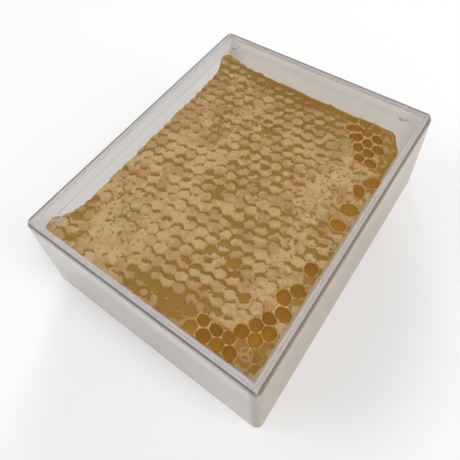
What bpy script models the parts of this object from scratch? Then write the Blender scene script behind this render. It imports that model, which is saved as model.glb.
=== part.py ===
"""A boxed honeycomb piece: a slab of capped comb honey shut in a clear plastic box with a plug-in lid.

Metres, +Z up. The origin is the middle of the box's underside, X runs across its short side and Y along
its long side. Three solids: the box base, the lid that plugs into it, and the comb that lies inside.
"""

import math

import bmesh
import bpy
import numpy as np
from mathutils import Vector

# The box
BOX_WIDTH = 0.1053           # X, outside
BOX_LENGTH = 0.1331          # Y, outside
BOX_HEIGHT = 0.0460          # underside to the lid's flat top
CORNER_RADIUS = 0.0027       # vertical corners, outside
CORNER_RADIUS_LEAST = 0.0006  # the same corners on the innermost faces
CORNER_STEPS = 3             # flats in each rounded corner
WALL = 0.0015                # side walls
FLOOR = 0.0014               # floor
FOOT_CHAMFER = 0.0008        # underside edge
FLOOR_FILLET = 0.0006        # inside, where the walls meet the floor
FIT_GAP = 0.0003             # clearance between pieces that touch

# The lid
LID_PANEL = 0.0016           # thickness of the flat top
LID_INSET = 0.0005           # how far the lid's edge stays inside the base's outer face
LID_CHAMFER = 0.0004         # broken top edge
SKIRT_DEPTH = 0.0085         # lid's top down to the lower edge of the plug skirt
SKIRT_WALL = 0.0011
PIP_RADIUS = 0.0021          # round stacking pips, one near each corner
PIP_HEIGHT = 0.0010
PIP_CHAMFER = 0.0003
PIP_SIDES = 10
PIP_FROM_SIDE = 0.0098       # pip's centre in from the long sides
PIP_FROM_END = 0.0084        # pip's centre in from the short sides

# The comb
COMB_TOP = 0.0380            # mean height of the cappings
WAVINESS = 0.00035           # slow rise and fall of the cappings
COMB_LEFT = -0.0448          # cut edges of the slab
COMB_RIGHT = 0.0472
COMB_FRONT = -0.0630
COMB_BACK = 0.0562
SLAB_CORNER = 0.0022         # cut off each corner of the slab
EDGE_STEP = 0.0095           # spacing of the points along a cut edge
EDGE_WAVE = 0.0003           # unevenness of the cut edges
BACK_LOBE = (0.0543, 0.0075)   # squeezed left corners: middle along Y, and half their length
FRONT_LOBE = (-0.0586, 0.0070)
LOBE_REACH = 0.0042          # how far they bulge towards the wall
BACK_BULGE = (-0.0442, 0.0080)  # the back left corner's bulge towards the back: middle along X, half its length
BACK_BULGE_REACH = 0.0026
RAISED_SIDE = (-0.0492, 0.0080)  # where those corners stand up: middle and half width along X
RAISED_BACK = (0.0563, 0.0120)   # and along Y
RAISED_FRONT = (-0.0605, 0.0100)
LOBE_RISE = 0.0016           # how far they stand up
FRONT_NOTCH = 0.0020         # how far the right end of the front edge is cut back
NOTCH_START = (0.0338, 0.0012)  # where along X that cut begins, and how gradually
TAPER_START = 0.0465         # Y from which the right edge slants inwards
TAPER = 0.57
CELL_PITCH = 0.00525         # worker cells, across flats
ROW_TILT = math.radians(0.3)  # cell rows against the box's X axis
ROW_BEND = 14.5              # how sharply the rows curve forward in the back right corner, 1/m
BEND_SIDE = 0.0232           # X from which they curve
BEND_BACK = (0.0271, 0.0175)  # Y from which they curve, and over what length it sets in
LATTICE_ORIGIN = (0.0411, -0.0508)  # centre of one cell
LATTICE_ROWS = range(-4, 28)
LATTICE_COLUMNS = range(-22, 6)
CAP_RISE = 0.0005            # flat cappings above the seams between them
CAP_SPREAD = (0.7, 1.3)      # least and greatest rise of a capping against that
CAP_SCALE = 0.80             # capping's plateau against its cell
RIM_SCALE = 0.90             # mouth of an open cell against its cell
OPEN_DEPTH = 0.0024          # mouth of an open cell down to its honey
OPEN_SPREAD = 0.0004         # how much deeper the deepest honey lies

# Where the cells are open: the back right corner, the right border, the front right corner and the
# right end of the front edge
BACK_OPEN = (0.0271, 0.0693)    # least Y, least X + Y
BORDER_OPEN = 0.0398            # least X
BORDER_CAPPED = (-0.0177, -0.0041)  # Y between which the border is capped
CORNER_OPEN = (-0.0430, 0.0398, 0.46)  # greatest Y, least X there, and how fast it moves left
STRIP_OPEN = (0.0202, -0.0537)  # least X, greatest Y

MERGE_STEP = 0.00005         # corners of neighbouring cells closer than this are one
SEED = 5


def clear_scene():
    for item in list(bpy.data.objects):
        bpy.data.objects.remove(item, do_unlink=True)


def material(name, color, roughness, transmission=0.0, ior=1.45):
    made = bpy.data.materials.new(name)
    made.use_nodes = True
    shader = made.node_tree.nodes["Principled BSDF"]
    shader.inputs["Base Color"].default_value = (*color, 1.0)
    shader.inputs["Roughness"].default_value = roughness
    shader.inputs["Metallic"].default_value = 0.0
    shader.inputs["Transmission Weight"].default_value = transmission
    shader.inputs["IOR"].default_value = ior
    return made


def new_object(name, bm, finish, sharp_angle=30.0):
    bmesh.ops.recalc_face_normals(bm, faces=bm.faces)
    mesh = bpy.data.meshes.new(name)
    bm.to_mesh(mesh)
    bm.free()
    mesh.shade_smooth()
    mesh.set_sharp_from_angle(angle=math.radians(sharp_angle))
    mesh.materials.append(finish)
    made = bpy.data.objects.new(name, mesh)
    bpy.context.scene.collection.objects.link(made)
    return made


def combine(target, operand, operation):
    """Cut or join target with operand by an exact Boolean, and hide operand as a construction guide."""
    operand.hide_render = True
    operand.display_type = "WIRE"
    step = target.modifiers.new(operation.lower(), "BOOLEAN")
    step.object = operand
    step.operation = operation
    step.solver = "EXACT"


# ---------------------------------------------------------------- box and lid

def rounded_rectangle(inset, z):
    """The box's outline moved in by inset, as points that run anticlockwise at height z."""
    half_x = BOX_WIDTH / 2 - inset
    half_y = BOX_LENGTH / 2 - inset
    radius = max(CORNER_RADIUS - inset, CORNER_RADIUS_LEAST)
    points = []
    for corner, (sign_x, sign_y) in enumerate(((1, 1), (-1, 1), (-1, -1), (1, -1))):
        for step in range(CORNER_STEPS + 1):
            angle = (corner + step / CORNER_STEPS) * math.pi / 2
            points.append(Vector((sign_x * (half_x - radius) + radius * math.cos(angle),
                                  sign_y * (half_y - radius) + radius * math.sin(angle), z)))
    return points


def loft(loops):
    """A closed body through the loops in order, with a flat face across the first and the last."""
    bm = bmesh.new()
    rings = [[bm.verts.new(point) for point in loop] for loop in loops]
    for lower, upper in zip(rings, rings[1:]):
        count = len(lower)
        for i in range(count):
            j = (i + 1) % count
            bm.faces.new((lower[i], lower[j], upper[j], upper[i]))
    bm.faces.new(rings[0])
    bm.faces.new(rings[-1])
    return bm


def make_base(finish):
    rim = BOX_HEIGHT - LID_PANEL - FIT_GAP
    sections = (
        (FOOT_CHAMFER, 0.0),
        (0.0, FOOT_CHAMFER),
        (0.0, rim),
        (WALL, rim),
        (WALL, FLOOR + FLOOR_FILLET),
        (WALL + FLOOR_FILLET, FLOOR),
    )
    return new_object("box_base", loft([rounded_rectangle(inset, z) for inset, z in sections]), finish)


def pip(bm, x, y):
    """One round pip with a broken edge, standing on the lid with its foot inside the panel."""
    top = BOX_HEIGHT + PIP_HEIGHT
    rings = []
    for radius, z in ((PIP_RADIUS, BOX_HEIGHT - LID_PANEL / 2), (PIP_RADIUS, top - PIP_CHAMFER),
                      (PIP_RADIUS - PIP_CHAMFER, top)):
        ring = []
        for side in range(PIP_SIDES):
            angle = 2 * math.pi * side / PIP_SIDES
            ring.append(bm.verts.new((x + radius * math.cos(angle), y + radius * math.sin(angle), z)))
        rings.append(ring)
    for lower, upper in zip(rings, rings[1:]):
        for i in range(PIP_SIDES):
            j = (i + 1) % PIP_SIDES
            bm.faces.new((lower[i], lower[j], upper[j], upper[i]))
    bm.faces.new(rings[0])
    bm.faces.new(rings[-1])


def make_lid(finish):
    under = BOX_HEIGHT - LID_PANEL
    skirt_foot = BOX_HEIGHT - SKIRT_DEPTH
    skirt_out = WALL + FIT_GAP
    skirt_in = skirt_out + SKIRT_WALL
    sections = (
        (skirt_in, under),
        (skirt_in, skirt_foot),
        (skirt_out, skirt_foot),
        (skirt_out, under),
        (LID_INSET, under),
        (LID_INSET, BOX_HEIGHT - LID_CHAMFER),
        (LID_INSET + LID_CHAMFER, BOX_HEIGHT),
    )
    lid = new_object("box_lid", loft([rounded_rectangle(inset, z) for inset, z in sections]), finish)
    pips = bmesh.new()
    for sign_x in (-1, 1):
        for sign_y in (-1, 1):
            pip(pips, sign_x * (BOX_WIDTH / 2 - PIP_FROM_SIDE), sign_y * (BOX_LENGTH / 2 - PIP_FROM_END))
    combine(lid, new_object("lid_pips_guide", pips, finish), "UNION")
    return lid


# ---------------------------------------------------------------- comb

def bump(value, middle, width):
    """A smooth bump: 1 at its middle, falling to 0 about two widths away."""
    return math.exp(-((value - middle) / width) ** 2)


def wave(along):
    """Slow unevenness of a cut edge, between -1 and 1."""
    return 0.6 * math.sin(along * 310.0) + 0.4 * math.sin(along * 790.0 + 1.3)


def left_edge(y):
    lobes = bump(y, *BACK_LOBE) + bump(y, *FRONT_LOBE)
    return COMB_LEFT - LOBE_REACH * min(lobes, 1.0) + EDGE_WAVE * wave(y)


def right_edge(y):
    return COMB_RIGHT - TAPER * max(0.0, y - TAPER_START) + EDGE_WAVE * wave(y + 0.2)


def front_edge(x):
    start, softness = NOTCH_START
    notch = FRONT_NOTCH / (1.0 + math.exp(-(x - start) / softness))
    return COMB_FRONT + notch + EDGE_WAVE * wave(x + 0.4)


def back_edge(x):
    return COMB_BACK + BACK_BULGE_REACH * bump(x, *BACK_BULGE) + EDGE_WAVE * wave(x + 0.6)


def outline():
    """The slab's outline seen from above, anticlockwise, with small cut-off corners."""
    across = np.arange(COMB_LEFT + SLAB_CORNER / 2, COMB_RIGHT - SLAB_CORNER, EDGE_STEP)
    along = np.arange(COMB_FRONT + SLAB_CORNER, COMB_BACK - SLAB_CORNER / 2, EDGE_STEP)
    points = [(x, front_edge(x)) for x in across]
    points += [(right_edge(y), y) for y in along]
    points += [(x, back_edge(x)) for x in across[::-1]]
    points += [(left_edge(y), y) for y in along[::-1]]
    return points


def surface(x, y):
    """Height of the seams between the cells: nearly level, raised at the two squeezed left corners."""
    raised = bump(x, *RAISED_SIDE) * (bump(y, *RAISED_BACK) + bump(y, *RAISED_FRONT))
    waviness = WAVINESS * math.sin(x * 95.0 + 0.7) * math.sin(y * 70.0 + 0.4)
    return COMB_TOP - CAP_RISE + LOBE_RISE * raised + waviness


def is_open(x, y):
    """Whether the cell at x, y was left without a capping."""
    back_corner = y > BACK_OPEN[0] and x + y > BACK_OPEN[1]
    border = x > BORDER_OPEN and y < BACK_OPEN[0] and not BORDER_CAPPED[0] < y < BORDER_CAPPED[1]
    front_corner = y < CORNER_OPEN[0] and x > CORNER_OPEN[1] + CORNER_OPEN[2] * (y - CORNER_OPEN[0])
    strip = x > STRIP_OPEN[0] and y < STRIP_OPEN[1]
    return back_corner or border or front_corner or strip


def bent(x, y):
    """A place in the straight cell lattice moved to where it lies: the rows curve in the back right corner."""
    fade = min(max((y - BEND_BACK[0]) / BEND_BACK[1], 0.0), 1.0)
    return x, y - ROW_BEND * max(x - BEND_SIDE, 0.0) ** 2 * fade


def cell_centres():
    """Centres, in the straight lattice, of every cell that could meet the slab."""
    row_height = CELL_PITCH * math.sqrt(3) / 2
    turn = (math.cos(ROW_TILT), math.sin(ROW_TILT))
    for row in LATTICE_ROWS:
        for column in LATTICE_COLUMNS:
            u = (column + 0.5 * (row % 2)) * CELL_PITCH
            v = row * row_height
            x = LATTICE_ORIGIN[0] + u * turn[0] - v * turn[1]
            y = LATTICE_ORIGIN[1] + u * turn[1] + v * turn[0]
            if (COMB_LEFT - LOBE_REACH - CELL_PITCH < x < COMB_RIGHT + CELL_PITCH
                    and COMB_FRONT - CELL_PITCH < y < COMB_BACK + 2 * CELL_PITCH):
                yield x, y


def hexagon(x, y, scale):
    """Corners of the cell at x, y of the straight lattice, where they lie, anticlockwise from +Y."""
    reach = scale * CELL_PITCH / math.sqrt(3)
    for corner in range(6):
        angle = ROW_TILT + math.pi / 2 + corner * math.pi / 3
        yield bent(x + reach * math.cos(angle), y + reach * math.sin(angle))


def ring_faces(bm, outer, inner):
    for i in range(6):
        j = (i + 1) % 6
        bm.faces.new((outer[i], outer[j], inner[j], inner[i]))


def add_cell(bm, shared, x, y, rng):
    """One cell's top: a raised flat capping, or an open mouth over honey."""
    centre = bent(x, y)
    outer = []
    for px, py in hexagon(x, y, 1.0):
        key = (round(px / MERGE_STEP), round(py / MERGE_STEP))
        if key not in shared:
            shared[key] = bm.verts.new((px, py, surface(px, py)))
        outer.append(shared[key])
    if is_open(*centre):
        mouth = [bm.verts.new((px, py, surface(px, py))) for px, py in hexagon(x, y, RIM_SCALE)]
        honey = surface(*centre) - OPEN_DEPTH - OPEN_SPREAD * rng.random()
        level = [bm.verts.new((px, py, honey)) for px, py in hexagon(x, y, RIM_SCALE)]
        ring_faces(bm, outer, mouth)
        ring_faces(bm, mouth, level)
        bm.faces.new(level)
    else:
        height = surface(*centre) + CAP_RISE * rng.uniform(*CAP_SPREAD)
        plateau = [bm.verts.new((px, py, height)) for px, py in hexagon(x, y, CAP_SCALE)]
        ring_faces(bm, outer, plateau)
        bm.faces.new(plateau)


def comb_relief(finish):
    """A block of whole cells, larger than the slab all round."""
    rng = np.random.default_rng(SEED)
    bm = bmesh.new()
    shared = {}
    for x, y in cell_centres():
        add_cell(bm, shared, x, y, rng)
    border = [edge for edge in bm.edges if len(edge.link_faces) == 1]
    walls = bmesh.ops.extrude_edge_only(bm, edges=border)["geom"]
    floor_edges = [item for item in walls if isinstance(item, bmesh.types.BMEdge) and
                   len(item.link_faces) == 1]
    for vert in {vert for edge in floor_edges for vert in edge.verts}:
        vert.co.z = -FLOOR
    bmesh.ops.edgenet_fill(bm, edges=floor_edges)
    return new_object("comb", bm, finish)


def make_comb(finish):
    comb = comb_relief(finish)
    points = outline()
    blank = loft([[Vector((x, y, z)) for x, y in points] for z in (FLOOR + FIT_GAP, BOX_HEIGHT)])
    combine(comb, new_object("comb_outline_cutter", blank, finish), "INTERSECT")
    return comb


def main():
    clear_scene()
    make_base(material("clear_base", (0.93, 0.94, 0.94), 0.05, transmission=1.0, ior=1.57))
    make_lid(material("clear_lid", (0.94, 0.95, 0.95), 0.04, transmission=1.0, ior=1.57))
    make_comb(material("capped_comb", (0.45, 0.29, 0.12), 0.45))


main()
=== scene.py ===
"""The looks of the boxed honeycomb piece: a clear box and lid, the waxy comb and the honey in its open cells.

Metres, +Z up, in the frame of the CAD: X across the box's short side, Y along its long side.
"""

import math

import bmesh
import bpy
import numpy as np
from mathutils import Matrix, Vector


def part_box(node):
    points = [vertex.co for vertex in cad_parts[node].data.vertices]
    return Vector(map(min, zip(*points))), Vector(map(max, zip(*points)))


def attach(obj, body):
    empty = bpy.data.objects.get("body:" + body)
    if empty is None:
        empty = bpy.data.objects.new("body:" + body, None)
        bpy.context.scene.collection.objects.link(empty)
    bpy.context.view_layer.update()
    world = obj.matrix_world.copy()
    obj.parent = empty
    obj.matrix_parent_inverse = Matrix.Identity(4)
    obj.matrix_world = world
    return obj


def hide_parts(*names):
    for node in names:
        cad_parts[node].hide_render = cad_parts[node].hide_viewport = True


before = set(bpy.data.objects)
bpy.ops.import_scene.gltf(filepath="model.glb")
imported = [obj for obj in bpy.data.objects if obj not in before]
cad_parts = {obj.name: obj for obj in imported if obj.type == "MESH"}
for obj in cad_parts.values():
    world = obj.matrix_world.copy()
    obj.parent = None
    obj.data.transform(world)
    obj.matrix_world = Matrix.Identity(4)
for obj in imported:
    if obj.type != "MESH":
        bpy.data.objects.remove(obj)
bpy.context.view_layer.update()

MM = 0.001
BODY = "root"

# The box, from the frame
BASE_LOW, BASE_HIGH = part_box("box_base")
LID_LOW, LID_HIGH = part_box("box_lid")
COMB_LOW, COMB_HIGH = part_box("comb")
PIP_HEIGHT = 1.0 * MM
LID_TOP = LID_HIGH[2] - PIP_HEIGHT
HALF_X = BASE_HIGH[0]
HALF_Y = BASE_HIGH[1]
RIM = BASE_HIGH[2]
CORNER_RADIUS = 2.7 * MM
WALL = 1.5 * MM
FLOOR = 1.4 * MM
FIT_GAP = 0.3 * MM
LID_PANEL = 1.6 * MM
LID_INSET = HALF_X - LID_HIGH[0]
SKIRT_WALL = 1.1 * MM
PIP_RADIUS = 2.1 * MM
PIP_FROM_SIDE = 9.8 * MM
PIP_FROM_END = 8.4 * MM

# The comb, as the CAD cuts it
COMB_TOP = 38.0 * MM
WAVINESS = 0.35 * MM
COMB_BOTTOM = COMB_LOW[2]
COMB_LEFT = -44.8 * MM
COMB_RIGHT = 47.2 * MM
COMB_FRONT = -63.0 * MM
COMB_BACK = 56.2 * MM
SLAB_CORNER = 1.6 * MM
EDGE_WAVE = 0.3 * MM
BACK_LOBE = (54.3 * MM, 7.5 * MM)
FRONT_LOBE = (-58.6 * MM, 7.0 * MM)
LOBE_REACH = 4.2 * MM
BACK_BULGE = (-44.2 * MM, 8.0 * MM)
BACK_BULGE_REACH = 2.6 * MM
RAISED_SIDE = (-49.2 * MM, 8.0 * MM)
RAISED_BACK = (56.3 * MM, 12.0 * MM)
RAISED_FRONT = (-60.5 * MM, 10.0 * MM)
LOBE_RISE = 1.6 * MM
FRONT_NOTCH = 2.0 * MM
NOTCH_START = (33.8 * MM, 1.2 * MM)
TAPER_START = 46.5 * MM
TAPER = 0.57
CELL_PITCH = 5.25 * MM
ROW_HEIGHT = CELL_PITCH * math.sqrt(3) / 2
ROW_TILT = math.radians(0.3)
ROW_BEND = 14.5
BEND_SIDE = 23.2 * MM
BEND_BACK = (27.1 * MM, 17.5 * MM)
LATTICE_ORIGIN = (41.3 * MM, -51.2 * MM)
CAP_RISE = 0.5 * MM
WELL_DEPTH = 3.2 * MM
HONEY_DEPTH = 1.0 * MM
GRID_STEP = 0.4 * MM


# ---------------------------------------------------------------- fields over the comb

def smoothstep(low, high, value):
    t = np.clip((value - low) / (high - low), 0.0, 1.0)
    return t * t * (3.0 - 2.0 * t)


def bump(value, middle, width):
    return np.exp(-((value - middle) / width) ** 2)


def noise(x, y, size, seed):
    """A smooth random field between about -1 and 1, with features about size across."""
    table = np.random.default_rng(seed).uniform(-1.0, 1.0, (64, 64))
    turn = 0.6 + 1.7 * seed
    u = (x * math.cos(turn) - y * math.sin(turn)) / size + 400.3
    v = (x * math.sin(turn) + y * math.cos(turn)) / size + 400.7
    i, j = np.floor(u).astype(int), np.floor(v).astype(int)
    fu, fv = smoothstep(0.0, 1.0, u - i), smoothstep(0.0, 1.0, v - j)
    i0, i1, j0, j1 = i % 64, (i + 1) % 64, j % 64, (j + 1) % 64
    near = table[i0, j0] * (1 - fu) + table[i1, j0] * fu
    far = table[i0, j1] * (1 - fu) + table[i1, j1] * fu
    return near * (1 - fv) + far * fv


def layered_noise(x, y, size, seed, layers=3):
    total, weight, norm = 0.0, 1.0, 0.0
    for layer in range(layers):
        total = total + weight * noise(x, y, size / 2 ** layer, seed + 31 * layer)
        norm += weight
        weight *= 0.55
    return total / norm


def wave(along):
    return 0.6 * np.sin(along * 310.0) + 0.4 * np.sin(along * 790.0 + 1.3)


def left_edge(y):
    lobes = bump(y, *BACK_LOBE) + bump(y, *FRONT_LOBE)
    return COMB_LEFT - LOBE_REACH * np.minimum(lobes, 1.0) + EDGE_WAVE * wave(y)


def right_edge(y):
    return COMB_RIGHT - TAPER * np.maximum(0.0, y - TAPER_START) + EDGE_WAVE * wave(y + 0.2)


def front_edge(x):
    start, softness = NOTCH_START
    notch = FRONT_NOTCH / (1.0 + np.exp(-(x - start) / softness))
    return COMB_FRONT + notch + EDGE_WAVE * wave(x + 0.4)


def back_edge(x):
    return COMB_BACK + BACK_BULGE_REACH * bump(x, *BACK_BULGE) + EDGE_WAVE * wave(x + 0.6)


def surface(x, y):
    """Height of the seams between the cells."""
    raised = bump(x, *RAISED_SIDE) * (bump(y, *RAISED_BACK) + bump(y, *RAISED_FRONT))
    waviness = WAVINESS * np.sin(x * 95.0 + 0.7) * np.sin(y * 70.0 + 0.4)
    return COMB_TOP - CAP_RISE + LOBE_RISE * raised + waviness


# Open cells that are larger than the rest: x, y, reach, how much they are stretched
STRETCHED = (
    (43.3 * MM, 2.8 * MM, 4.0 * MM, 0.30),
    (43.3 * MM, 11.3 * MM, 4.0 * MM, 0.28),
    (43.9 * MM, -37.8 * MM, 4.0 * MM, 0.18),
)


def lattice(x, y):
    """Straight lattice coordinates of places on the comb, with its real unevenness."""
    border = smoothstep(-9 * MM, -4 * MM, y) * (1 - smoothstep(16 * MM, 25 * MM, y)) * smoothstep(34 * MM, 41 * MM, x)
    upper = border * smoothstep(0 * MM, 9 * MM, y)
    corner = smoothstep(22 * MM, 30 * MM, x) * smoothstep(24 * MM, 30 * MM, y)
    front = smoothstep(12 * MM, 22 * MM, x) * smoothstep(-52 * MM, -57 * MM, y)
    low = np.exp(-((x - 43.9 * MM) / (5 * MM)) ** 2 - ((y + 36.5 * MM) / (5 * MM)) ** 2)
    x = x - 2.3 * MM * border - 2.2 * MM * corner - 0.5 * MM * front
    y = y + 0.9 * MM * border + 1.2 * MM * upper - 1.5 * MM * corner - 1.1 * MM * front + 1.6 * MM * low
    px = x + 0.55 * MM * noise(x, y, 17 * MM, 11) + 0.26 * MM * noise(x, y, 5 * MM, 12)
    py = y + 0.55 * MM * noise(x, y, 17 * MM, 13) + 0.26 * MM * noise(x, y, 5 * MM, 14)
    for cx, cy, reach, stretch in STRETCHED:
        cx = cx - 2.3 * MM * (cy > 0)
        cy = cy + 1.5 * MM * (cy > 0)
        pull = stretch * np.exp(-((x - cx) ** 2 + (y - cy) ** 2) / reach ** 2)
        px = px - pull * (x - cx)
        py = py - pull * (y - cy)
    fade = np.clip((y - BEND_BACK[0]) / BEND_BACK[1], 0.0, 1.0)
    py = py + ROW_BEND * np.maximum(x - BEND_SIDE, 0.0) ** 2 * fade
    px, py = px - LATTICE_ORIGIN[0], py - LATTICE_ORIGIN[1]
    return px * math.cos(ROW_TILT) + py * math.sin(ROW_TILT), py * math.cos(ROW_TILT) - px * math.sin(ROW_TILT)


def cells(u, v):
    """Offset from the nearest cell's centre, and that cell's row and column, doubled on odd rows."""
    row_a = 2 * np.round(v / (2 * ROW_HEIGHT))
    col_a = np.round(u / CELL_PITCH)
    row_b = 2 * np.floor(v / (2 * ROW_HEIGHT)) + 1
    col_b = np.floor(u / CELL_PITCH) + 0.5
    ua, va = u - col_a * CELL_PITCH, v - row_a * ROW_HEIGHT
    ub, vb = u - col_b * CELL_PITCH, v - row_b * ROW_HEIGHT
    nearer = ua ** 2 + va ** 2 < ub ** 2 + vb ** 2
    return (np.where(nearer, ua, ub), np.where(nearer, va, vb),
            np.where(nearer, row_a, row_b).astype(int), np.round(2 * np.where(nearer, col_a, col_b)).astype(int))


def hex_distance(du, dv):
    """0 at a cell's centre, 1 on its walls."""
    return np.maximum(np.abs(du), 0.5 * np.abs(du) + 0.5 * math.sqrt(3) * np.abs(dv)) / (CELL_PITCH / 2)


CELL_CHANCE = np.random.default_rng(8).random((128, 256, 4))


def chance(row, col, which):
    """A fixed random number between 0 and 1 for each cell."""
    return CELL_CHANCE[row % 128, col % 256, which]


def from_edge(x, y):
    """Distance in from the slab's nearest cut edge."""
    return np.minimum(np.minimum(x - left_edge(y), right_edge(y) - x),
                      np.minimum(y - front_edge(x), back_edge(x) - y))


def is_open(x, y):
    """Cells left without a capping: the right border and the cut corners."""
    back_right = (y > 27.1 * MM) & (x + y > 69.3 * MM) & (y < 50.5 * MM) & ((x < 42.0 * MM) | (y < 30.0 * MM))
    right_border = (x > 39.8 * MM) & (y > -53.0 * MM) & (y < 27.1 * MM) & ~((y > -25.5 * MM) & (y < -21.1 * MM))
    right_border &= ~((y > -17.7 * MM) & (y < -0.6 * MM)) & ~((y > 5.7 * MM) & (y < 8.6 * MM))
    right_border &= ~((y > 13.0 * MM) & (y < 18.0 * MM) & (x < 43.0 * MM))
    front_right = (y < -43.0 * MM) & (x > 39.3 * MM + 0.56 * (y + 43.0 * MM)) & (y > -53.0 * MM)
    front_strip = (y < -53.0 * MM) & (x > 22.0 * MM) & (x < 37.5 * MM)
    return (back_right | right_border | front_right | front_strip) & (from_edge(x, y) > 2.0 * MM)


def cell_middle(x, y, du, dv):
    """Where the middle of the cell lies, near enough to tell which part of the comb it is in."""
    return (x - du * math.cos(ROW_TILT) + dv * math.sin(ROW_TILT),
            y - du * math.sin(ROW_TILT) - dv * math.cos(ROW_TILT))


def find_open_cells():
    """Centre of every open cell, where it lies, by its row and column."""
    x, y = np.meshgrid(np.arange(COMB_LEFT, COMB_RIGHT, 0.25 * MM), np.arange(COMB_FRONT, COMB_BACK, 0.25 * MM))
    du, dv, row, col = cells(*lattice(x, y))
    close = np.hypot(du, dv) < 0.5 * MM
    found = {}
    for key_row, key_col, px, py in zip(row[close], col[close], x[close], y[close]):
        found.setdefault((int(key_row), int(key_col)), []).append((px, py))
    centres = {key: tuple(np.mean(places, axis=0)) for key, places in sorted(found.items())}
    return {key: centre for key, centre in centres.items() if is_open(*centre)}


OPEN_CELLS = find_open_cells()
OPEN_MARKS = np.zeros((128, 256), bool)
for open_row, open_col in OPEN_CELLS:
    OPEN_MARKS[open_row % 128, open_col % 256] = True


# How far the cappings have run together (above zero) or are sunken, wet or missing (below zero):
# middle and reach in x and y in millimetres, and how much
COVER = (
    (45, 40, 3.2, 11, -2.2), (32, 53.5, 14, 3.6, -1.8), (43.5, -56, 5, 4.5, -1.7),
    (32, 11.5, 7, 26, 0.75), (32.5, -31.5, 4, 14, 0.55), (-27, -50, 12, 8, 0.75), (-37, -37, 6, 12, 0.25),
    (-23, 21, 12, 10, 0.15), (13, 44.5, 22, 4, 0.15), (17.5, -57.5, 24, 7, -1.3), (-4.5, -58.5, 7, 4, -0.6),
    (-5, 56.5, 38, 8.5, -1.9), (-42.5, 29, 4, 22, -0.35), (-43.5, -2, 2.2, 24, -0.3), (-42, -50, 4, 4, -1.3),
    (-42, -56.5, 5, 5, -0.5), (-43, -42, 2.5, 4, -0.9), (-35.5, -56.5, 2, 1.9, -2), (-38, -59.5, 2.2, 1.9, -2),
    (13.5, -42, 13, 8, -0.55), (1, 0, 13, 18, -0.15), (3, 33, 26, 8, -0.25), (25.5, -27.5, 10, 10, -0.15),
    (41.5, -11, 4, 7, -0.4), (-3, 27, 3, 2.2, -1.3), (-3.5, -11, 2.6, 2.2, -1.6), (11, -18.5, 4, 2.2, -1.2),
    (20.5, -34, 2.6, 3.4, -1.6), (30.5, -42.5, 2.2, 2.4, -1.8), (-2, -55.5, 3, 2.4, -1.2),
    (30.5, -30.5, 2.2, 1.6, -0.8), (-11, -6, 3, 2, -0.6), (-23, -57, 11, 5, 0.65), (-33, -50, 5, 8, 0.3),
)

# Islands of capping left standing in the wet parts: x, y, reach, in millimetres
ISLANDS = (
    (9.5, -51, 2.2), (19.5, -52, 1.6), (15, -51.5, 1.9), (4.5, -59, 1.6), (19.5, -43, 2.4), (25.5, -43, 2.2),
    (23, -48, 1.9), (28.5, -48, 2), (31.5, -51.5, 1.7), (0, -59.5, 1.7), (14.5, -36, 2), (-26.5, 39.5, 1.8),
    (33, -47.5, 2.2),
)

# Painted shade, where the comb's colour is darkened as if in shade, in the first table; where the comb is olive rather
# than tan, in the second: middle and reach in x and y in millimetres, and how much
PAINTED_SHADE_SPOTS = (
    (-4, 58, 48, 11, 0.5), (-42, 50, 8, 9, -0.35), (9.5, -58.5, 24, 5, 0.15), (1, 4.5, 14, 18, 0.08), (44, -58, 5, 6, 0.3),
    (1, 38.5, 30, 8, 0.22), (13.5, -41, 14, 7, 0.15),
)
OLIVE = (
    (-26, 0, 16, 60, 0.3), (-24, -57, 13, 6, 0.5),
    (-45, 0, 4, 60, 0.7), (-39.5, 50.5, 12, 10, 0.8), (-21, 17.5, 10, 8, 0.4), (31.5, 0, 6, 22, 0.2),
    (-43, -58.5, 8, 5, 0.7), (47.5, 29, 3, 30, 0.8), (-29, -27.5, 13, 22, 0.35),
)


# Where honey stands up to the rims of the cells, so that only the tops of their walls show
FLOODED = (
    (44.5, 38, 3.5, 12, 1), (31, 53.5, 16, 4, 1), (43, -56, 5, 4.5, 1), (19, -58, 5, 4, 0.8), (-40, -53, 4, 5, 0.8),
)


def blobs(x, y, table):
    total = 0.0 * x
    for cx, cy, reach_x, reach_y, amount in table:
        total = total + amount * np.exp(-((x / MM - cx) / reach_x) ** 2 - ((y / MM - cy) / reach_y) ** 2)
    return total


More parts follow.
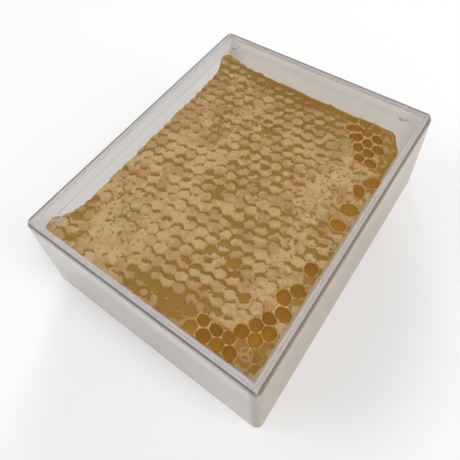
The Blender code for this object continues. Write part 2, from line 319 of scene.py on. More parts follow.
def comb_top(x, y):
    """Height of the comb's top, then masks: capping, wetness, wall and tone, with a painted highlight along the
    plates' lit edges in the tone; olive, soaked, painted glint and painted shade.
    """
    u, v = lattice(x, y)
    du, dv, row, col = cells(u, v)
    mx, my = cell_middle(x, y, du, dv)
    edge = from_edge(x, y)
    opened = OPEN_MARKS[row % 128, col % 256]
    hexagon = hex_distance(du, dv)
    lot = [chance(row, col, k) for k in range(4)]
    bias = blobs(x, y, COVER)
    soaked = smoothstep(-0.15, -0.9, bias)
    islands = blobs(x, y, [(cx, cy, reach, 0.85 * reach, 1.0) for cx, cy, reach in ISLANDS])
    wild = 1.0 + 0.7 * np.exp(-((x / MM + 23) / 14) ** 2 - ((y / MM - 21) / 13) ** 2)

    # cappings lie like roof tiles: proud at their near edge, sunk under the next row along their far edges
    far = (-0.35 * du + 0.94 * dv) / (CELL_PITCH / 2)
    ragged = wild * (0.18 * noise(x, y * 1.2, 2.3 * MM, 21) + 0.20 * noise(x, y * 1.2, 1.15 * MM, 22)
                     + 0.12 * noise(x, y, 0.8 * MM, 37))
    fused = np.maximum(bias, 0)
    ringed = lot[2] > 0.86
    cluster = 0.16 * noise(mx, my, 8 * MM, 35)
    slide = np.where(ringed, 0.12, 0.04 + 0.42 * lot[0] ** 1.6 + cluster - 0.16 * fused) * CELL_PITCH
    aside = 0.5 * MM * (2 * lot[2] - 1)
    twist = np.where(ringed, 0.0, 0.5 * (lot[1] - 0.5))
    tu, tv = du - 0.45 * slide + aside, dv + slide + 0.5 * MM * (lot[3] - 0.5)
    across = hex_distance(0.94 * (tu * np.cos(twist) - tv * np.sin(twist)), tv * np.cos(twist) + tu * np.sin(twist))
    size = (0.985 + 0.12 * lot[1] + 0.30 * bias + ragged + 0.20 * noise(x, y, 4.2 * MM, 30)
            + 0.08 * noise(x, y, 9 * MM, 23))
    gap = smoothstep(0.0, 0.10, across - size)
    drop = 0.24 + bias + 0.8 * (lot[3] - 0.12) + 1.5 * ragged + 0.5 * (lot[2] - 0.5) * du / (CELL_PITCH / 2)
    hollow = smoothstep(-0.02, 0.25, far - drop)
    sunken = np.maximum(gap, hollow)
    under_next = smoothstep(0.92, 1.0, hexagon + 0.05 * noise(x, y, 2.0 * MM, 25))
    sunken = sunken * np.maximum(1 - under_next, soaked)
    sunken = sunken * (1 - smoothstep(0.30, 0.62, islands))
    pits = smoothstep(0.50, 0.70, noise(x, y * 1.2, 1.1 * MM, 27)) * smoothstep(0.1, 0.5, bias + 0.25 * wild)
    sunken = np.maximum(sunken, 0.85 * pits)
    broken = smoothstep(-22 * MM, 8 * MM, y + 0.7 * x) * smoothstep(0.35, 0.60, noise(x, y * 1.15, 1.35 * MM, 36))
    sunken = np.maximum(sunken, 0.8 * broken * smoothstep(0.35, 0.75, hexagon) * (1 - 0.6 * np.minimum(fused, 1)))
    seam = smoothstep(0.90, 1.0, hexagon) * smoothstep(-0.1, 0.4, noise(x, y, 3.4 * MM, 28)) * (1 - sunken)
    seam = np.where(ringed, 1.8 * smoothstep(0.80, 0.95, hexagon) * (1 - fused) * (1 - sunken), seam)
    lean = 0.16 * MM * ((lot[1] - 0.5) * du + (lot[3] - 0.5) * dv) / (CELL_PITCH / 2)
    tile = CAP_RISE * (0.55 + 0.40 * lot[2] - 0.38 * far) + 0.06 * MM * (1 - hexagon ** 2) + 2 * lean
    grain = 0.05 * MM * layered_noise(x, y, 1.6 * MM, 24) + 0.09 * MM * wild * layered_noise(x, y, 1.1 * MM, 29, 2)
    capped_height = (1 - sunken) * tile - 0.35 * MM * sunken - 0.08 * MM * seam + (1 - 0.7 * soaked) * grain
    # lit_edge and glint are painted highlight: lighter colour along the plates' near edges, where light would catch
    # them
    lit_edge = smoothstep(0.70, 0.95, across - size + 1) * smoothstep(0.3, -0.3, far) * (1 - sunken) * (1 - soaked)
    glint = lit_edge * smoothstep(0.0, 0.6, noise(x, y, 1.4 * MM, 34)) * (1 - 0.7 * np.minimum(fused, 1))

    # open cells: a rounded mouth inside thin walls
    round_distance = np.hypot(du, dv) / (CELL_PITCH / 2)
    mouth_distance = 0.45 * hexagon + 0.55 * round_distance
    mouth = 0.94 + 0.03 * noise(x, y, 3 * MM, 26) - mouth_distance
    inside = smoothstep(-0.04, 0.10, mouth)
    lip = 0.16 * MM * smoothstep(-0.2, -0.04, mouth) + 0.25 * CAP_RISE
    open_height = lip - WELL_DEPTH * inside + grain

    height = surface(x, y) + np.where(opened, open_height, capped_height)
    height = height - 0.7 * MM * (1 - smoothstep(0.0, 1.4 * MM, edge))
    cover = np.where(opened, 0.0, np.clip(1 - sunken - 0.38 * seam, 0, 1))
    flooded = np.minimum(blobs(x, y, FLOODED), 1.0)
    drowned = flooded * smoothstep(0.3, 1.0, soaked)
    wet = sunken * (0.1 + 0.25 * soaked + 0.35 * smoothstep(-1.0, -1.6, bias) + 0.25 * drowned)
    wet = np.where(opened, inside, wet)
    rim = np.where(opened, 1 - smoothstep(0.0, 0.12, mouth), 0.75 * flooded * smoothstep(0.88, 0.97, hexagon))
    # the tone carries painted highlight from lit_edge, besides random tone, soaking and the cappings running together
    tone = np.clip(0.5 + 0.55 * (lot[1] - 0.5) + 0.35 * noise(x, y, 7 * MM, 31) + 0.30 * noise(x, y, 1.7 * MM, 32)
                   + 0.20 * lit_edge - 0.30 * soaked + 0.25 * smoothstep(0.1, 0.6, bias), 0, 1)
    olive = np.clip(blobs(x, y, OLIVE) + 0.12 + 0.4 * noise(x, y, 6 * MM, 33) + 0.9 * (lot[0] - 0.5)
                    + 0.3 * noise(x, y, 1.5 * MM, 38), 0, 1)
    # painted shade: how much the comb's colour is darkened as if it lay in shade
    painted_shade = np.clip(blobs(x, y, PAINTED_SHADE_SPOTS), 0, 1)
    wax_stain = np.where(opened, 0.0, soaked * (1 - 0.5 * drowned))
    return height, (cover, wet, rim, tone), (olive, wax_stain, np.where(opened, 0.0, 0.34 * glint), painted_shade)


# ---------------------------------------------------------------- comb mesh

def slab_grid():
    """The slab's top as a grid of x, y places that follows its uneven outline and rounded corners."""
    across = np.linspace(0.0, 1.0, int((COMB_RIGHT - COMB_LEFT) / GRID_STEP) + 1)
    along = np.linspace(0.0, 1.0, int((COMB_BACK - COMB_FRONT) / GRID_STEP) + 1)
    s, t = np.meshgrid(across, along)
    x = COMB_LEFT + s * (COMB_RIGHT - COMB_LEFT)
    y = COMB_FRONT + t * (COMB_BACK - COMB_FRONT)
    in_x = np.minimum(x - COMB_LEFT, COMB_RIGHT - x)
    in_y = np.minimum(y - COMB_FRONT, COMB_BACK - y)
    wx, wy = 1 - in_x / SLAB_CORNER, 1 - in_y / SLAB_CORNER
    corner = (wx > 0) & (wy > 0)
    pull = np.where(corner, 1 - np.maximum(wx, wy) / np.maximum(np.hypot(wx, wy), 1e-9), 0.0)
    rx = x + np.where(corner, np.sign(-x) * wx * SLAB_CORNER * pull, 0.0)
    ry = y + np.where(corner, np.sign(-y) * wy * SLAB_CORNER * pull, 0.0)
    gx = rx + (1 - s) ** 4 * (left_edge(ry) - COMB_LEFT) + s ** 4 * (right_edge(ry) - COMB_RIGHT)
    gy = ry + (1 - t) ** 6 * (front_edge(rx) - COMB_FRONT) + t ** 6 * (back_edge(rx) - COMB_BACK)
    return gx, gy


def boundary_indices(rows, cols):
    """Indices of the grid's border vertices, anticlockwise from the front left corner."""
    front = [c for c in range(cols)]
    right = [r * cols + cols - 1 for r in range(1, rows)]
    back = [(rows - 1) * cols + c for c in range(cols - 2, -1, -1)]
    left = [r * cols for r in range(rows - 2, 0, -1)]
    return np.array(front + right + back + left)


def side_row(x, y, normal_x, normal_y, top, fraction):
    """One row of the cut side at a fraction of the way down: cells sliced open between thin walls."""
    z = top + (COMB_BOTTOM - top) * fraction
    middle = COMB_BOTTOM + 0.47 * (COMB_TOP - COMB_BOTTOM)
    lower = z < middle
    u, v = lattice(x, y)
    u = np.where(lower, u + CELL_PITCH / 2, u) + 0.10 * (z - middle) * 0.3
    v = np.where(lower, v + ROW_HEIGHT / 3, v)
    du, dv, row, col = cells(u, v)
    wall = smoothstep(0.80, 0.97, hex_distance(du, dv) + 0.05 * noise(x + y, z, 2 * MM, 41))
    rib = bump(z, middle + 0.5 * MM * noise(x + y, z * 0, 6 * MM, 42), 0.45 * MM)
    near_top = smoothstep(1.5 * MM, 0.5 * MM, top - z)
    near_bottom = smoothstep(1.5 * MM, 0.5 * MM, z - COMB_BOTTOM)
    wax = np.clip(np.maximum.reduce([wall, rib, near_top, near_bottom]), 0, 1)
    dent = 0.55 * MM * (1 - wax) * (0.6 + 0.4 * chance(row, col, 3))
    dent = dent + 0.10 * MM * (1 + layered_noise(x + y, z, 3 * MM, 43))
    ends = min(1.0, 12 * fraction, 12 * (1 - fraction))
    dent = dent * ends
    return x - normal_x * dent, y - normal_y * dent, z, wax


def comb_mesh():
    gx, gy = slab_grid()
    rows, cols = gx.shape
    height, masks, zones = comb_top(gx, gy)
    points = np.stack([gx.ravel(), gy.ravel(), height.ravel()], 1)
    masks = np.stack([mask.ravel() for mask in masks], 1)
    zones = np.stack([zone.ravel() for zone in zones], 1)

    r, c = np.meshgrid(np.arange(rows - 1), np.arange(cols - 1), indexing="ij")
    first = (r * cols + c).ravel()
    faces = np.stack([first, first + 1, first + cols + 1, first + cols], 1)

    border = boundary_indices(rows, cols)
    bx, by, top = points[border].T
    tangent_x = np.roll(bx, -1) - np.roll(bx, 1)
    tangent_y = np.roll(by, -1) - np.roll(by, 1)
    length = np.hypot(tangent_x, tangent_y)
    normal_x, normal_y = tangent_y / length, -tangent_x / length
    levels = np.concatenate([[0.012, 0.03], np.linspace(0.055, 0.94, 17), [0.97, 1.0]])
    previous = border
    for fraction in levels:
        x, y, z, wax = side_row(bx, by, normal_x, normal_y, top, fraction)
        ring = len(points) + np.arange(len(border))
        points = np.concatenate([points, np.stack([x, y, z], 1)])
        honey = 1 - wax
        masks = np.concatenate([masks, np.stack([0.35 * wax, 0.4 * honey, 0.8 * wax, 0 * wax + 0.5], 1)])
        # the cut sides' third zone puts painted light on them: a pale colour that lifts their shade
        zones = np.concatenate([zones, np.stack([0 * wax, 0 * wax, 0 * wax + min(1.0, 20 * fraction), 0 * wax], 1)])
        faces = np.concatenate([faces, np.stack([previous, ring, np.roll(ring, -1), np.roll(previous, -1)], 1)])
        previous = ring
    polygons = faces.tolist() + [previous[::-1].tolist()]

    mesh = bpy.data.meshes.new("comb_wax")
    mesh.from_pydata(points.tolist(), [], polygons)
    for name, values in (("comb_mask", masks), ("comb_zone", zones)):
        layer = mesh.color_attributes.new(name, "FLOAT_COLOR", "POINT")
        layer.data.foreach_set("color", values.astype(np.float32).ravel())
    mesh.shade_smooth()
    mesh.update()
    return mesh


def mouth_reach(centre, angle, row, col):
    """How far a cell's mouth reaches from its centre in one direction."""
    reach = np.linspace(1.2 * MM, 3.6 * MM, 60)
    x, y = centre[0] + reach * math.cos(angle), centre[1] + reach * math.sin(angle)
    du, dv, rows, cols = cells(*lattice(x, y))
    inside = 0.45 * hex_distance(du, dv) + 0.55 * np.hypot(du, dv) / (CELL_PITCH / 2) < 0.93
    inside &= (rows == row) & (cols == col)
    return reach[inside].max() if inside.any() else 2.1 * MM


def honey_mesh():
    """Honey standing in the open cells: one shallow lens per cell, reaching just into the wax."""
    bm = bmesh.new()
    shade = bm.loops.layers.float_color.new("honey_shade")
    sides = 24
    for (row, col), centre in OPEN_CELLS.items():
        random = [float(chance(np.array(row), np.array(col), k)) for k in range(4)]
        level = float(surface(*centre)) - HONEY_DEPTH * (0.55 + 0.9 * random[0])
        rings = []
        for share, climb in ((1.04, 0.30), (0.93, 0.12), (0.72, 0.03), (0.4, 0.0)):
            ring = []
            for side in range(sides):
                angle = 2 * math.pi * side / sides
                reach = share * mouth_reach(centre, angle, row, col)
                ring.append(bm.verts.new((centre[0] + reach * math.cos(angle),
                                          centre[1] + reach * math.sin(angle), level + climb * MM)))
            rings.append(ring)
        under = [bm.verts.new((v.co.x, v.co.y, level - 0.9 * MM)) for v in rings[0]]
        made = [bm.faces.new(rings[-1]), bm.faces.new(under[::-1])]
        for outer, inner in zip([under] + rings, rings):
            for side in range(sides):
                after = (side + 1) % sides
                made.append(bm.faces.new((outer[side], outer[after], inner[after], inner[side])))
        for face in made:
            face.smooth = True
            for loop in face.loops:
                loop[shade] = (random[1], random[2], random[3], 1.0)
    mesh = bpy.data.meshes.new("cell_honey")
    bm.to_mesh(mesh)
    bm.free()
    return mesh


def underside_mesh():
    """Flat cappings under the slab, a shallow plate for each cell of its lower side."""
    bm = bmesh.new()
    reach = CELL_PITCH / math.sqrt(3)
    for row in range(-4, 28):
        for column in range(-20, 6):
            u = (column + 0.5 * (row % 2) + 0.5) * CELL_PITCH
            v = row * ROW_HEIGHT + ROW_HEIGHT / 3
            x = LATTICE_ORIGIN[0] + u * math.cos(ROW_TILT) - v * math.sin(ROW_TILT)
            y = LATTICE_ORIGIN[1] + u * math.sin(ROW_TILT) + v * math.cos(ROW_TILT)
            if from_edge(np.array(x), np.array(y)) < 2.9 * MM:
                continue
            rings = []
            for scale, z in ((0.93, COMB_BOTTOM + 0.25 * MM), (0.93, COMB_BOTTOM + 0.02 * MM),
                             (0.78, COMB_BOTTOM - 0.20 * MM)):
                rings.append([bm.verts.new((x + scale * reach * math.cos(ROW_TILT + (k + 0.5) * math.pi / 3),
                                            y + scale * reach * math.sin(ROW_TILT + (k + 0.5) * math.pi / 3), z))
                              for k in range(6)])
            bm.faces.new(rings[0])
            for upper, lower in zip(rings, rings[1:]):
                for k in range(6):
                    bm.faces.new((upper[k], lower[k], lower[(k + 1) % 6], upper[(k + 1) % 6]))
            bm.faces.new(rings[-1][::-1])
    mesh = bpy.data.meshes.new("comb_underside")
    bm.to_mesh(mesh)
    bm.free()
    return mesh


# ---------------------------------------------------------------- box and lid shells

def rounded_rectangle(inset, z, steps=8):
    """The box's outline moved in by inset, with extra points beside each rounded corner."""
    half_x, half_y = HALF_X - inset, HALF_Y - inset
    radius = max(CORNER_RADIUS - inset, 0.5 * MM)
    beside = 0.5 * MM
    points = []
    for corner, (sign_x, sign_y) in enumerate(((1, 1), (-1, 1), (-1, -1), (1, -1))):
        centre = Vector((sign_x * (half_x - radius), sign_y * (half_y - radius), z))
        start, end = corner * math.pi / 2, (corner + 1) * math.pi / 2
        leading = Vector((math.sin(start), -math.cos(start), 0)) * beside
        trailing = Vector((-math.sin(end), math.cos(end), 0)) * beside
        arc = [centre + radius * Vector((math.cos(a), math.sin(a), 0))
               for a in (start + (end - start) * k / steps for k in range(steps + 1))]
        points += [arc[0] + leading] + arc + [arc[-1] + trailing]
    return points


def rounded_profile(corners):
    """A profile of (inset, z, radius) corners with arcs at the corners and support points beside them."""
    beside = 0.22 * MM
    steps = 4
    places = [Vector((inset, z)) for inset, z, _ in corners]
    profile = [places[0]]
    for before, here, after, (_, _, radius) in zip(places, places[1:], places[2:], corners[1:]):
        to_before, to_after = (before - here).normalized(), (after - here).normalized()
        half = math.acos(max(-1.0, min(1.0, to_before.dot(to_after)))) / 2
        run = radius / math.tan(half)
        centre = here + (to_before + to_after).normalized() * (radius / math.sin(half))
        first, last = here + to_before * run, here + to_after * run
        profile.append(first + to_before * beside)
        for k in range(steps + 1):
            spoke = (first - centre).lerp(last - centre, k / steps).normalized()
            profile.append(centre + spoke * radius)
        profile.append(last + to_after * beside)
    profile.append(places[-1])
    return profile


def loft(loops):
    bm = bmesh.new()
    rings = [[bm.verts.new(point) for point in loop] for loop in loops]
    for lower, upper in zip(rings, rings[1:]):
        for i in range(len(lower)):
            j = (i + 1) % len(lower)
            bm.faces.new((lower[i], lower[j], upper[j], upper[i]))
    bm.faces.new(rings[0])
    bm.faces.new(rings[-1])
    return bm


def shell(name, corners):
    bm = loft([rounded_rectangle(inset, z) for inset, z in rounded_profile(corners)])
    bmesh.ops.recalc_face_normals(bm, faces=bm.faces)
    mesh = bpy.data.meshes.new(name)
    bm.to_mesh(mesh)
    bm.free()
    mesh.shade_smooth()
    mesh.set_sharp_from_angle(angle=math.radians(35))
    return piece(name, mesh)


def base_shell():
    middle = HALF_X - 6 * MM
    return shell("base_shell", (
        (middle, 0.0, 0.0),
        (0.0, 0.0, 0.9 * MM),
        (0.0, RIM, 0.28 * MM),
        (WALL, RIM, 0.28 * MM),
        (WALL, FLOOR, 0.7 * MM),
        (middle, FLOOR, 0.0),
    ))


def pips_mesh():
    """The four round pips, rounded over at the top, with their feet inside the lid's panel."""
    bm = bmesh.new()
    sides = 32
    sweep = [(PIP_RADIUS, LID_TOP - LID_PANEL / 2), (PIP_RADIUS, LID_HIGH[2] - 0.35 * MM)]
    for k in range(1, 5):
        angle = k / 4 * math.pi / 2
        sweep.append((PIP_RADIUS - 0.35 * MM * (1 - math.cos(angle)), LID_HIGH[2] - 0.35 * MM * (1 - math.sin(angle))))
    for sign_x in (-1, 1):
        for sign_y in (-1, 1):
            cx, cy = sign_x * (HALF_X - PIP_FROM_SIDE), sign_y * (HALF_Y - PIP_FROM_END)
            rings = [[bm.verts.new((cx + radius * math.cos(2 * math.pi * k / sides),
                                    cy + radius * math.sin(2 * math.pi * k / sides), z)) for k in range(sides)]
                     for radius, z in sweep]
            for lower, upper in zip(rings, rings[1:]):
                for k in range(sides):
                    after = (k + 1) % sides
                    bm.faces.new((lower[k], lower[after], upper[after], upper[k]))
            bm.faces.new(rings[0][::-1])
            bm.faces.new(rings[-1])
    bmesh.ops.recalc_face_normals(bm, faces=bm.faces)
    mesh = bpy.data.meshes.new("lid_pips")
    bm.to_mesh(mesh)
    bm.free()
    return mesh


def lid_shell():
    under = LID_TOP - LID_PANEL
    skirt_out = WALL + FIT_GAP
    skirt_in = skirt_out + SKIRT_WALL
    middle = HALF_X - 6 * MM
    lid = shell("lid_shell", (
        (middle, under, 0.0),
        (skirt_in, under, 0.35 * MM),
        (skirt_in, LID_LOW[2], 0.30 * MM),
        (skirt_out, LID_LOW[2], 0.30 * MM),
        (skirt_out, under, 0.15 * MM),
        (LID_INSET, under, 0.20 * MM),
        (LID_INSET, LID_TOP, 0.55 * MM),
        (middle, LID_TOP, 0.0),
    ))
    pips = bpy.data.objects.new("lid_pips", pips_mesh())
    bpy.context.scene.collection.objects.link(pips)
    join = lid.modifiers.new("pips", "BOOLEAN")
    join.object = pips
    join.operation = "UNION"
    join.solver = "EXACT"
    joined = bpy.data.meshes.new_from_object(lid.evaluated_get(bpy.context.evaluated_depsgraph_get()))
    lid.modifiers.clear()
    lid.data = joined
    joined.set_sharp_from_angle(angle=math.radians(35))
    bpy.data.objects.remove(pips, do_unlink=True)
    return lid


# ---------------------------------------------------------------- materials

class Nodes:
    """A short way to build a material's node tree."""

    def __init__(self, name):
        self.material = bpy.data.materials.new(name)
        self.material.use_nodes = True
        self.tree = self.material.node_tree
        self.tree.nodes.clear()
        self.place = self.add("ShaderNodeTexCoord").outputs["Object"]

    def add(self, kind, **settings):
        node = self.tree.nodes.new(kind)
        for key, value in settings.items():
            setattr(node, key, value)
        return node

    def link(self, source, target):
        self.tree.links.new(source, target)

    def put(self, socket, value):
        if isinstance(value, bpy.types.NodeSocket):
            self.link(value, socket)
        else:
            socket.default_value = value

    def noise(self, scale, detail=3.0, roughness=0.55, distortion=0.0, stretch=(1, 1, 1)):
        mapping = self.add("ShaderNodeMapping")
        mapping.inputs["Scale"].default_value = stretch
        self.link(self.place, mapping.inputs["Vector"])
        node = self.add("ShaderNodeTexNoise")
        self.link(mapping.outputs[0], node.inputs["Vector"])
        node.inputs["Scale"].default_value = scale
        node.inputs["Detail"].default_value = detail
        node.inputs["Roughness"].default_value = roughness
        node.inputs["Distortion"].default_value = distortion
        return node.outputs["Fac"]

    def ramp(self, source, *stops):
        node = self.add("ShaderNodeValToRGB")
        self.link(source, node.inputs[0])
        elements = node.color_ramp.elements
        while len(elements) < len(stops):
            elements.new(0.5)
        for element, (position, color) in zip(elements, stops):
            element.position = position
            element.color = color if len(color) == 4 else (*color, 1.0)
        return node.outputs["Color"]

    def spread(self, source, low, high, out_low=0.0, out_high=1.0):
        node = self.add("ShaderNodeMapRange")
        self.link(source, node.inputs["Value"])
        for key, value in (("From Min", low), ("From Max", high), ("To Min", out_low), ("To Max", out_high)):
            node.inputs[key].default_value = value
        return node.outputs["Result"]

    def from_outline(self, half_x, half_y):
        """Distance in from the box's outline, by object coordinates."""
        split = self.add("ShaderNodeSeparateXYZ")
        self.link(self.place, split.inputs[0])
        in_x = self.math("SUBTRACT", half_x, self.math("ABSOLUTE", split.outputs["X"], 0.0))
        in_y = self.math("SUBTRACT", half_y, self.math("ABSOLUTE", split.outputs["Y"], 0.0))
        return self.math("MINIMUM", in_x, in_y)

    def from_corner(self):
        """Distance along the walls from the nearest upright corner, by object coordinates."""
        split = self.add("ShaderNodeSeparateXYZ")
        self.link(self.place, split.inputs[0])
        in_x = self.math("SUBTRACT", HALF_X, self.math("ABSOLUTE", split.outputs["X"], 0.0))
        in_y = self.math("SUBTRACT", HALF_Y, self.math("ABSOLUTE", split.outputs["Y"], 0.0))
        return self.math("ADD", in_x, in_y)

    def on_wall(self, axis, half):
        """1 on the wall at the positive end of an axis, 0 elsewhere, by object coordinates."""
        split = self.add("ShaderNodeSeparateXYZ")
        self.link(self.place, split.inputs[0])
        return self.spread(split.outputs[axis], half - 4.0 * MM, half - 2.0 * MM)

    def by_height(self, low, high, out_low, out_high):
        """A value that changes with the height above the box's underside, by object coordinates."""
        split = self.add("ShaderNodeSeparateXYZ")
        self.link(self.place, split.inputs[0])
        return self.spread(split.outputs["Z"], low, high, out_low, out_high)

    def from_pips(self):
        """Distance from the rounded side of the nearest pip, by object coordinates."""
        split = self.add("ShaderNodeSeparateXYZ")
        self.link(self.place, split.inputs[0])
        off_x = self.math("SUBTRACT", self.math("ABSOLUTE", split.outputs["X"], 0.0), HALF_X - PIP_FROM_SIDE)
        off_y = self.math("SUBTRACT", self.math("ABSOLUTE", split.outputs["Y"], 0.0), HALF_Y - PIP_FROM_END)
        reach = self.math("SQRT", self.math("ADD", self.math("MULTIPLY", off_x, off_x),
                                            self.math("MULTIPLY", off_y, off_y)), 0.0)
        return self.math("ABSOLUTE", self.math("SUBTRACT", reach, PIP_RADIUS - 0.1 * MM), 0.0)

    def mix(self, factor, first, second, blend="MIX"):
        node = self.add("ShaderNodeMix", data_type="RGBA", blend_type=blend)
        self.put(node.inputs[0], factor)
        self.put(node.inputs[6], first if isinstance(first, bpy.types.NodeSocket) else (*first, 1.0))
        self.put(node.inputs[7], second if isinstance(second, bpy.types.NodeSocket) else (*second, 1.0))
        return node.outputs[2]

    def math(self, operation, first, second):
        node = self.add("ShaderNodeMath", operation=operation)
        self.put(node.inputs[0], first)
        self.put(node.inputs[1], second)
        return node.outputs[0]

    def attribute(self, name):
        node = self.add("ShaderNodeVertexColor", layer_name=name)
        split = self.add("ShaderNodeSeparateColor")
        self.link(node.outputs["Color"], split.inputs[0])
        return node, split.outputs

    def bump(self, height, distance, strength=1.0):
        node = self.add("ShaderNodeBump")
        node.inputs["Strength"].default_value = strength
        node.inputs["Distance"].default_value = distance
        self.link(height, node.inputs["Height"])
        return node.outputs["Normal"]

    def principled(self, **values):
        node = self.add("ShaderNodeBsdfPrincipled")
        for key, value in values.items():
            self.put(node.inputs[key.replace("_", " ")], value)
        return node

    def finish(self, shader):
        output = self.add("ShaderNodeOutputMaterial")
        self.link(shader, output.inputs["Surface"])
        return self.material


# Painted shade: a dark line along the lid's outer edge, standing in for the shade seen in the plastic's edge.
PAINTED_DARK_EDGE_TINT = (0.35, 0.35, 0.36)
PAINTED_DARK_EDGE_FRONT = (0.13, 0.13, 0.14)
PAINTED_DARK_EDGE_HAZE = 0.6
HAZE_FRONT = (0.62, 0.615, 0.64)
HAZE_BACK = (0.98, 0.965, 0.945)
STAINED_FRONT = (0.40, 0.33, 0.245)
STAINED_BACK = (0.72, 0.61, 0.47)
RIM_FRONT = (0.95, 0.93, 0.97)
WAX_LIGHT = (0.590, 0.385, 0.187)
WAX_MID = (0.455, 0.275, 0.115)
SEAM = (0.352, 0.206, 0.044)
SEAM_RED = (0.392, 0.199, 0.048)
SOAKED = (0.352, 0.193, 0.039)
RIM_WAX = (0.722, 0.460, 0.171)
# painted light: a pale colour that lifts the cut sides' shade and makes the painted glints on the plates
PAINTED_LIGHT_WAX = (0.80, 0.66, 0.46)
HONEY_DARK = (0.275, 0.116, 0.006)
HONEY_LIGHT = (0.369, 0.177, 0.012)
OLIVE_TINT = (0.97, 1.09, 1.10)
# painted shade colour, multiplied into the comb where it is darkened as if in shade
PAINTED_SHADE_TINT = (0.62, 0.53, 0.28)


def wax_material():
    n = Nodes("comb_wax")
    source, mask = n.attribute("comb_mask")
    zones, zone = n.attribute("comb_zone")
    cover, wet, rim, tone = mask[0], mask[1], mask[2], source.outputs["Alpha"]
    mottle = n.spread(n.noise(420, detail=4, roughness=0.6), 0.3, 0.7)
    speck = n.spread(n.noise(1500, detail=3), 0.25, 0.75, 0.87, 1.12)
    shade = n.math("ADD", tone, n.spread(n.noise(900, detail=3), 0.3, 0.7, -0.15, 0.15))
    wax = n.mix(n.spread(shade, 0.15, 0.75), WAX_MID, WAX_LIGHT)
    seam = n.mix(mottle, SEAM, SEAM_RED)
    honey = n.mix(mottle, HONEY_DARK, HONEY_LIGHT)
    low = n.mix(wet, seam, honey)
    low = n.mix(n.math("MULTIPLY", zone[1], 0.8), low, SOAKED)
    color = n.mix(n.spread(cover, 0.25, 0.75), low, wax)
    color = n.mix(rim, color, RIM_WAX)
    color = n.mix(zone[0], color, n.mix(1.0, color, OLIVE_TINT, "MULTIPLY"))
    # painted shade: the comb's colour darkened where it would lie in shade
    color = n.mix(zones.outputs["Alpha"], color, n.mix(1.0, color, PAINTED_SHADE_TINT, "MULTIPLY"))
    # painted light: lifts the cut sides toward a pale colour and adds the painted glints along the plates' near edges
    color = n.mix(n.math("MULTIPLY", zone[2], 0.75), color, PAINTED_LIGHT_WAX)
    grey = n.add("ShaderNodeCombineColor")
    for socket in grey.inputs[:3]:
        n.link(speck, socket)
    color = n.mix(1.0, color, grey.outputs[0], "MULTIPLY")
    roughness = n.spread(wet, 0.0, 1.0, 0.55, 0.28)
    height = n.math("ADD", n.noise(700, detail=4), n.math("MULTIPLY", n.noise(2600, detail=2), 0.3))
    shader = n.principled(Base_Color=color, Roughness=roughness, IOR=1.40,
                          Normal=n.bump(height, 0.3 * MM, 0.5))
    shader.inputs["Specular IOR Level"].default_value = 0.35
    shader.inputs["Subsurface Weight"].default_value = 0.25
    shader.inputs["Subsurface Radius"].default_value = (1.0, 0.55, 0.2)
    shader.inputs["Subsurface Scale"].default_value = 0.6 * MM
    return n.finish(shader.outputs[0])


def honey_material():
    n = Nodes("honey")
    _, shade = n.attribute("honey_shade")
    cloud = n.noise(260, detail=3)
    mixed = n.math("ADD", n.math("MULTIPLY", shade[0], 0.6), n.math("MULTIPLY", cloud, 0.5))
    color = n.mix(n.spread(mixed, 0.15, 0.95), HONEY_DARK, HONEY_LIGHT)
    shader = n.principled(Base_Color=color, Roughness=n.spread(n.noise(150), 0.3, 0.7, 0.16, 0.3), IOR=1.40,
                          Normal=n.bump(n.noise(500, detail=2), 0.2 * MM, 0.35))
    shader.inputs["Subsurface Weight"].default_value = 0.3
    shader.inputs["Subsurface Radius"].default_value = (1.0, 0.45, 0.08)
    shader.inputs["Subsurface Scale"].default_value = 2.0 * MM
    return n.finish(shader.outputs[0])


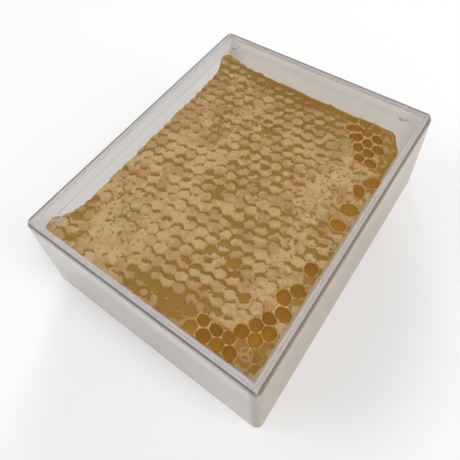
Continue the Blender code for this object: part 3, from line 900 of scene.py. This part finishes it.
def clear_material(name, tint, haze, rim_haze, dark_edge_paint, seed):
    """Clear moulded plastic with faint smears and some haze, which lets the lamps light what is inside."""
    n = Nodes(name)
    smear = n.noise(38 + seed, detail=1, roughness=0.5)
    inset = n.from_outline(HALF_X, HALF_Y)
    # painted shade: edge marks a dark line along the lid's outer edge, which darkens the clear tint and the haze there
    edge = n.spread(inset, LID_INSET + 0.3 * MM, LID_INSET + 0.6 * MM, 1.0, 0.0) if rim_haze else 0.0
    rim = n.spread(inset, 2.9 * MM, 3.3 * MM, rim_haze, 0.0)
    rim = n.math("MAXIMUM", rim, n.math("MULTIPLY", edge, PAINTED_DARK_EDGE_HAZE)) if rim_haze else rim
    milk = n.math("MAXIMUM", n.spread(smear, 0.3, 0.7, 0.94 * haze, 1.06 * haze), rim)
    # painted highlight: a thin milky ring round each pip's rounded side
    if rim_haze:
        milk = n.math("MAXIMUM", milk, n.spread(n.from_pips(), 0.10 * MM, 0.30 * MM, 0.09, 0.0))
    # painted shade: the base's clear plastic darkened near its upright corners
    if not rim_haze:
        tint = n.mix(n.spread(n.from_corner(), 2.0 * MM, 12.0 * MM, 0.8, 0.0), tint, (0.5, 0.5, 0.48))
    clear = n.principled(Base_Color=n.mix(edge, tint, dark_edge_paint), Roughness=n.spread(smear, 0.45, 0.8, 0.015, 0.05),
                         IOR=1.52, Normal=n.bump(n.noise(40, detail=0), 0.3 * MM, 0.015))
    clear.inputs["Transmission Weight"].default_value = 1.0
    stain = 0.0
    if not rim_haze:
        on_back = n.math("MULTIPLY", n.on_wall("Y", HALF_Y), n.by_height(COMB_TOP, COMB_TOP + 5.0 * MM, 1.0, 0.1))
        stain = n.math("MAXIMUM", n.on_wall("X", HALF_X), on_back)
    inner_front = n.mix(stain, RIM_FRONT if rim_haze else HAZE_FRONT, STAINED_FRONT)
    front = n.principled(Base_Color=n.mix(edge, inner_front, PAINTED_DARK_EDGE_FRONT), Roughness=0.5)
    back = n.add("ShaderNodeBsdfTranslucent")
    n.put(back.inputs[0], n.mix(edge, n.mix(stain, HAZE_BACK, STAINED_BACK), PAINTED_DARK_EDGE_FRONT))
    frost = n.add("ShaderNodeMixShader")
    frost.inputs[0].default_value = 0.5
    n.link(front.outputs[0], frost.inputs[1])
    n.link(back.outputs[0], frost.inputs[2])
    milky = n.add("ShaderNodeMixShader")
    n.link(milk, milky.inputs[0])
    n.link(clear.outputs[0], milky.inputs[1])
    n.link(frost.outputs[0], milky.inputs[2])
    through = n.add("ShaderNodeBsdfTransparent")
    n.put(through.inputs[0], n.mix(milk, (0.985, 0.985, 0.985), (0.51, 0.51, 0.51)))
    path = n.add("ShaderNodeLightPath")
    blend = n.add("ShaderNodeMixShader")
    n.link(path.outputs["Is Shadow Ray"], blend.inputs[0])
    n.link(milky.outputs[0], blend.inputs[1])
    n.link(through.outputs[0], blend.inputs[2])
    return n.finish(blend.outputs[0])


def floor_material():
    n = Nodes("floor")
    color = n.mix(n.noise(3.0), (0.90, 0.90, 0.90), (0.92, 0.92, 0.92))
    return n.finish(n.principled(Base_Color=color, Roughness=0.7).outputs[0])


# ---------------------------------------------------------------- pieces

def piece(name, mesh):
    made = bpy.data.objects.new(name, mesh)
    bpy.context.scene.collection.objects.link(made)
    return made


def dress(made, finish, slot, *nodes):
    """Gives a piece its material, its body and the CAD nodes that it stands for."""
    made.data.materials.clear()
    made.data.materials.append(finish)
    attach(made, BODY)
    if nodes:
        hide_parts(*nodes)


def make_object():
    wax = wax_material()
    dress(piece("comb_wax", comb_mesh()), wax, "comb", "comb")
    dress(piece("comb_underside", underside_mesh()), wax, "comb", "comb")
    dress(piece("cell_honey", honey_mesh()), honey_material(), "comb", "comb")
    dress(base_shell(), clear_material("clear_base", (0.975, 0.975, 0.975), 0.36, 0.0, (0.93, 0.93, 0.93), 0), "clear_plastic", "box_base")
    dress(lid_shell(), clear_material("clear_lid", (0.975, 0.975, 0.975), 0.0, 0.22, PAINTED_DARK_EDGE_TINT, 7), "clear_plastic", "box_lid")


# ---------------------------------------------------------------- stage

def make_camera():
    """The photographer's place, in lid widths from the middle of the lid's top."""
    width = LID_HIGH[0] - LID_LOW[0]
    data = bpy.data.cameras.new("camera")
    data.lens = 40.05
    data.sensor_width = 36.0
    data.shift_x = 0.0160
    data.shift_y = -0.1931
    data.clip_start = 0.005
    data.dof.use_dof = False
    camera = bpy.data.objects.new("camera", data)
    camera.location = Vector((0.7152, -0.9323, 1.5512)) * width + Vector((0, 0, LID_TOP))
    camera.rotation_euler = [math.radians(angle) for angle in (39.8905, 3.4808, 36.0464)]
    bpy.context.scene.collection.objects.link(camera)
    bpy.context.scene.camera = camera


def area_light(name, place, size, power, color=(1, 1, 1)):
    data = bpy.data.lights.new(name, "AREA")
    data.shape = "RECTANGLE"
    data.size, data.size_y = size
    data.energy = power
    data.color = color
    light = bpy.data.objects.new(name, data)
    light.location = place
    light.visible_glossy = False
    light.visible_transmission = False
    light.rotation_euler = (-Vector(place)).to_track_quat("-Z", "Y").to_euler()
    bpy.context.scene.collection.objects.link(light)


def make_stage():
    bm = bmesh.new()
    bmesh.ops.create_grid(bm, x_segments=1, y_segments=1, size=3.0)
    mesh = bpy.data.meshes.new("floor")
    bm.to_mesh(mesh)
    bm.free()
    floor = piece("floor", mesh)
    floor.location.z = BASE_LOW[2] - 0.02 * MM
    mesh.materials.append(floor_material())

    world = bpy.data.worlds.new("studio")
    bpy.context.scene.world = world
    world.use_nodes = True
    nodes, links = world.node_tree.nodes, world.node_tree.links
    direction = nodes.new("ShaderNodeTexCoord")
    split = nodes.new("ShaderNodeSeparateXYZ")
    links.new(direction.outputs["Generated"], split.inputs[0])
    height = nodes.new("ShaderNodeMapRange")
    height.interpolation_type = "SMOOTHSTEP"
    links.new(split.outputs["Z"], height.inputs["Value"])
    for key, value in (("From Min", 0.30), ("From Max", 0.60), ("To Min", 0.80), ("To Max", 0.12)):
        height.inputs[key].default_value = value
    links.new(height.outputs["Result"], nodes["Background"].inputs["Strength"])
    nodes["Background"].inputs["Color"].default_value = (1.0, 1.0, 1.0, 1.0)
    area_light("key", (-0.62, 0.98, 0.58), (0.5, 0.35), 6.2)
    area_light("overhead", (0.6, -0.1, 1.3), (0.7, 0.7), 11.2)
    area_light("side", (1.0, 0.15, 0.75), (0.5, 0.5), 2.5)
    area_light("fill", (-0.9, -0.6, 0.9), (0.7, 0.7), 5.0)
    bpy.context.scene.view_settings.view_transform = "Standard"


make_object()
make_camera()
make_stage()
